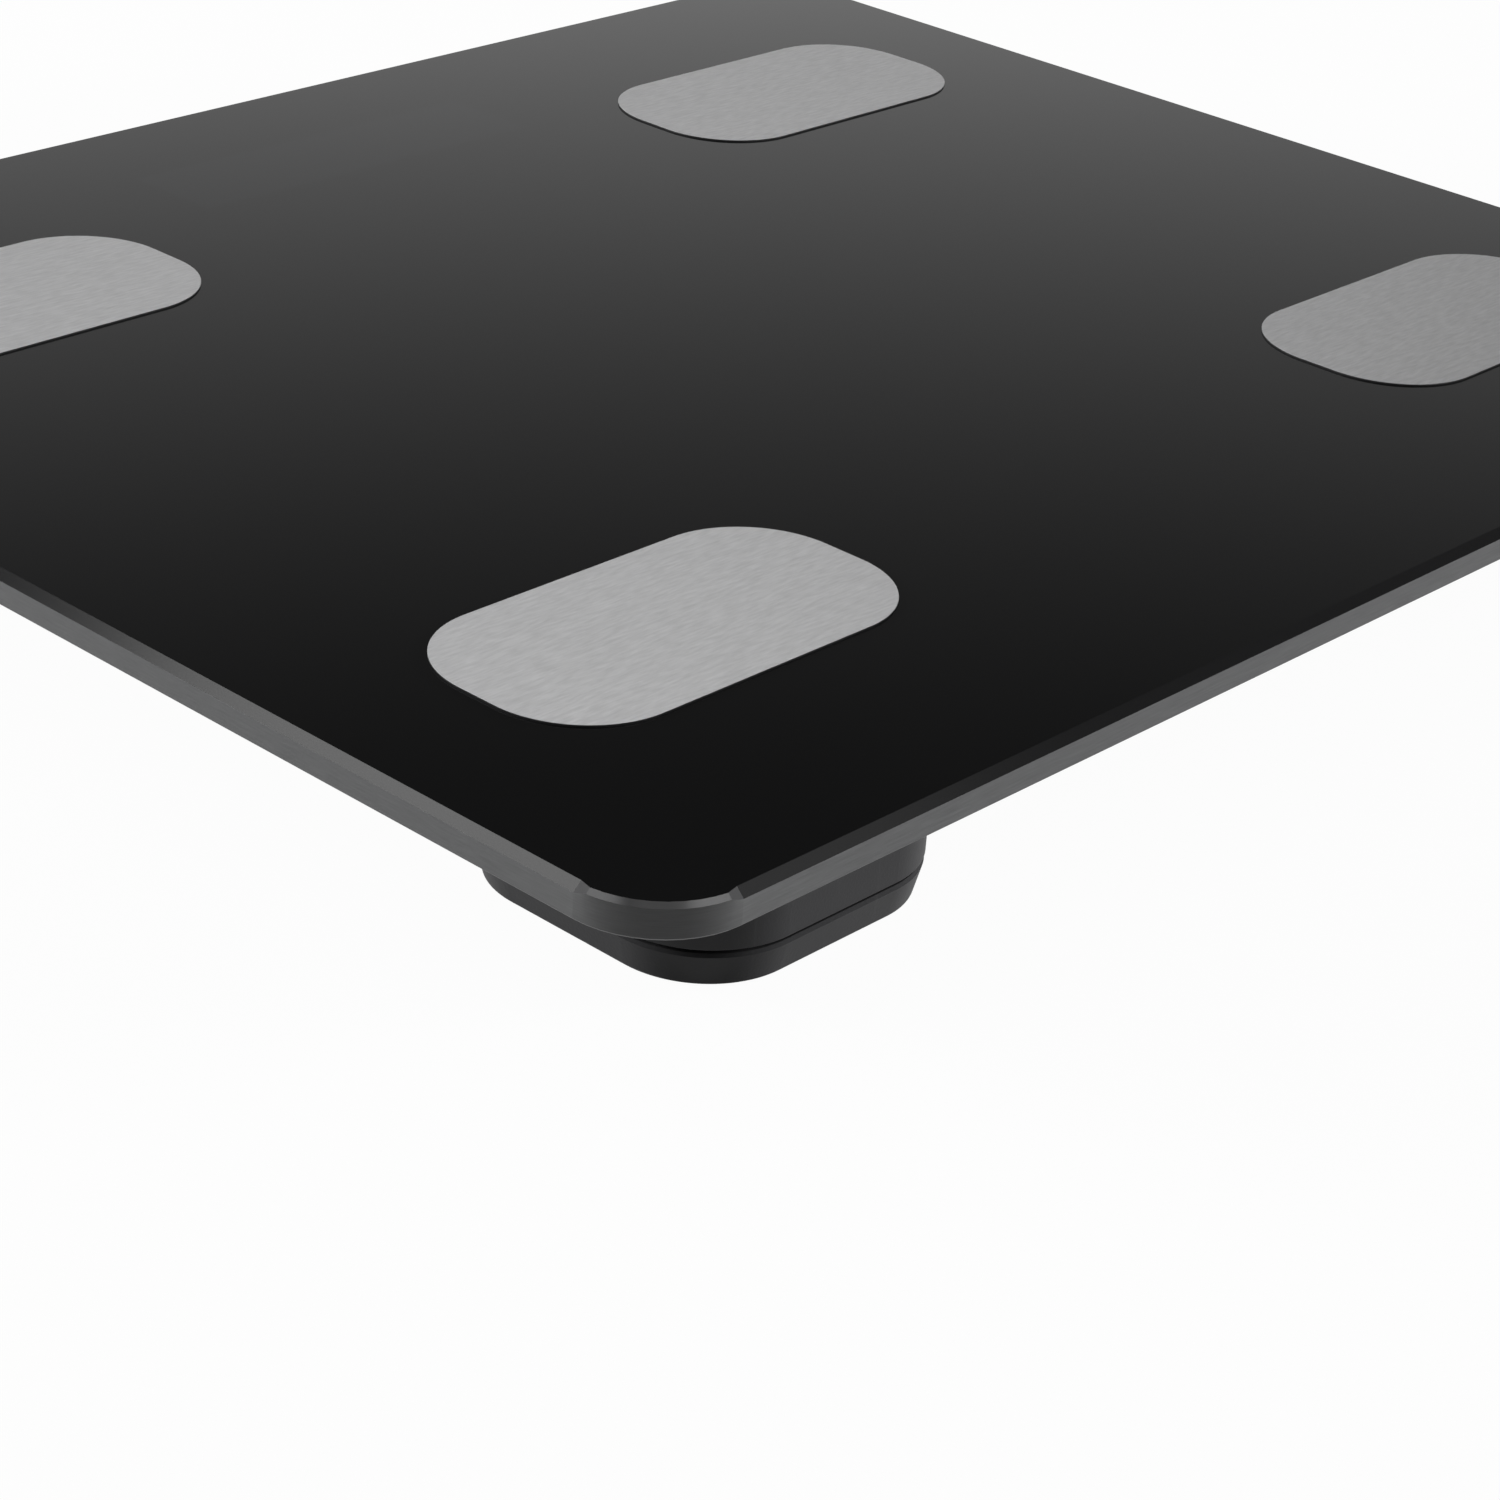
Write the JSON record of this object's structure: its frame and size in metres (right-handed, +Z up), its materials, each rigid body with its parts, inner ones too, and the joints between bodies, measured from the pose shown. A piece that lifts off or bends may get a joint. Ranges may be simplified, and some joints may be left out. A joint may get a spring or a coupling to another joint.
{
  "type": "digital bathroom scale",
  "caption": "Flat body-composition bathroom scale: bevelled black glass platform with brushed steel electrodes on load-cell feet, with a display and battery tray underneath.",
  "frame": {"origin": "on the floor under the middle of the platform", "axes": "+X along the front edge to the right of the person standing on it, +Y towards the display, +Z up"},
  "size_m": [0.3, 0.26, 0.0204],
  "materials": {
    "black_glass": "polished black tempered glass with a ground edge",
    "black_film": "printed film",
    "brushed_steel": "fine brushed",
    "nickel": "plated",
    "foot_plastic": "satin moulded",
    "tray_plastic": "fine spark-eroded texture",
    "duct_plastic": "satin moulded",
    "button_plastic": "satin moulded",
    "grip_rubber": "matte",
    "cell_steel": "stamped",
    "screw_steel": "zinc plated",
    "gauge_resin": "cast resin",
    "lead_sheath": "flexible sheath",
    "board_green": "solder mask",
    "connector_nylon": "natural nylon",
    "chip_black": "moulded",
    "shield_steel": "tinned",
    "display_white": "white reflector",
    "display_dark": "smoked",
    "cell_wrap": "printed wrap"
  },
  "bodies": {
    "platform": {"glass_platform": "black_glass", "backing_film": "black_film", "electrode_terminals": "nickel", "strain_gauges": "gauge_resin", "electronics_tray": "tray_plastic", "main_board": "board_green", "board_screws": "screw_steel", "lead_connectors": "connector_nylon", "processor": "chip_black", "radio_module": "shield_steel", "unit_switch": "chip_black", "display_frame": "display_white", "display_panel": "display_dark", "battery_contacts_positive": "nickel", "battery_contacts_negative": "nickel", "battery_cell_1": "cell_wrap", "battery_cell_2": "cell_wrap", "battery_cell_3": "cell_wrap", "battery_cell_4": "cell_wrap", "electrode_front_left": "brushed_steel", "foot_housing_front_left": "foot_plastic", "load_cell_front_left": "cell_steel", "sensor_lead_front_left": "lead_sheath", "electrode_lead_front_left": "lead_sheath", "cable_duct_front_left": "duct_plastic", "electrode_front_right": "brushed_steel", "foot_housing_front_right": "foot_plastic", "load_cell_front_right": "cell_steel", "sensor_lead_front_right": "lead_sheath", "electrode_lead_front_right": "lead_sheath", "cable_duct_front_right": "duct_plastic", "electrode_rear_left": "brushed_steel", "foot_housing_rear_left": "foot_plastic", "load_cell_rear_left": "cell_steel", "sensor_lead_rear_left": "lead_sheath", "electrode_lead_rear_left": "lead_sheath", "cable_duct_rear_left": "duct_plastic", "electrode_rear_right": "brushed_steel", "foot_housing_rear_right": "foot_plastic", "load_cell_rear_right": "cell_steel", "sensor_lead_rear_right": "lead_sheath", "electrode_lead_rear_right": "lead_sheath", "cable_duct_rear_right": "duct_plastic"},
    "foot_front_left": {"foot_front_left": "foot_plastic", "foot_grip_front_left": "grip_rubber", "foot_screw_front_left": "screw_steel"},
    "foot_front_right": {"foot_front_right": "foot_plastic", "foot_grip_front_right": "grip_rubber", "foot_screw_front_right": "screw_steel"},
    "foot_rear_left": {"foot_rear_left": "foot_plastic", "foot_grip_rear_left": "grip_rubber", "foot_screw_rear_left": "screw_steel"},
    "foot_rear_right": {"foot_rear_right": "foot_plastic", "foot_grip_rear_right": "grip_rubber", "foot_screw_rear_right": "screw_steel"},
    "battery_door": {"battery_door": "tray_plastic"},
    "unit_button": {"unit_button": "button_plastic"}
  },
  "joints": [
    {"name": "foot_front_left_press", "type": "slide", "parent": "platform", "child": "foot_front_left", "axis": [0, 0, 1], "range_m": [0, 0.0004], "stiffness_N_per_m": 2000, "springref_m": -0.003, "deforming": ["load_cell_front_left"]},
    {"name": "foot_front_right_press", "type": "slide", "parent": "platform", "child": "foot_front_right", "axis": [0, 0, 1], "range_m": [0, 0.0004], "stiffness_N_per_m": 2000, "springref_m": -0.003, "deforming": ["load_cell_front_right"]},
    {"name": "foot_rear_left_press", "type": "slide", "parent": "platform", "child": "foot_rear_left", "axis": [0, 0, 1], "range_m": [0, 0.0004], "stiffness_N_per_m": 2000, "springref_m": -0.003, "deforming": ["load_cell_rear_left"]},
    {"name": "foot_rear_right_press", "type": "slide", "parent": "platform", "child": "foot_rear_right", "axis": [0, 0, 1], "range_m": [0, 0.0004], "stiffness_N_per_m": 2000, "springref_m": -0.003, "deforming": ["load_cell_rear_right"]},
    {"name": "battery_door_hinge", "type": "hinge", "parent": "platform", "child": "battery_door", "pos_m": [0, 0.02955, 0.00255], "axis": [-1, 0, 0], "range_deg": [0, 75]},
    {"name": "unit_button_press", "type": "slide", "parent": "platform", "child": "unit_button", "axis": [0, 0, 1], "range_m": [0, 0.0006], "stiffness_N_per_m": 1500}
  ]
}
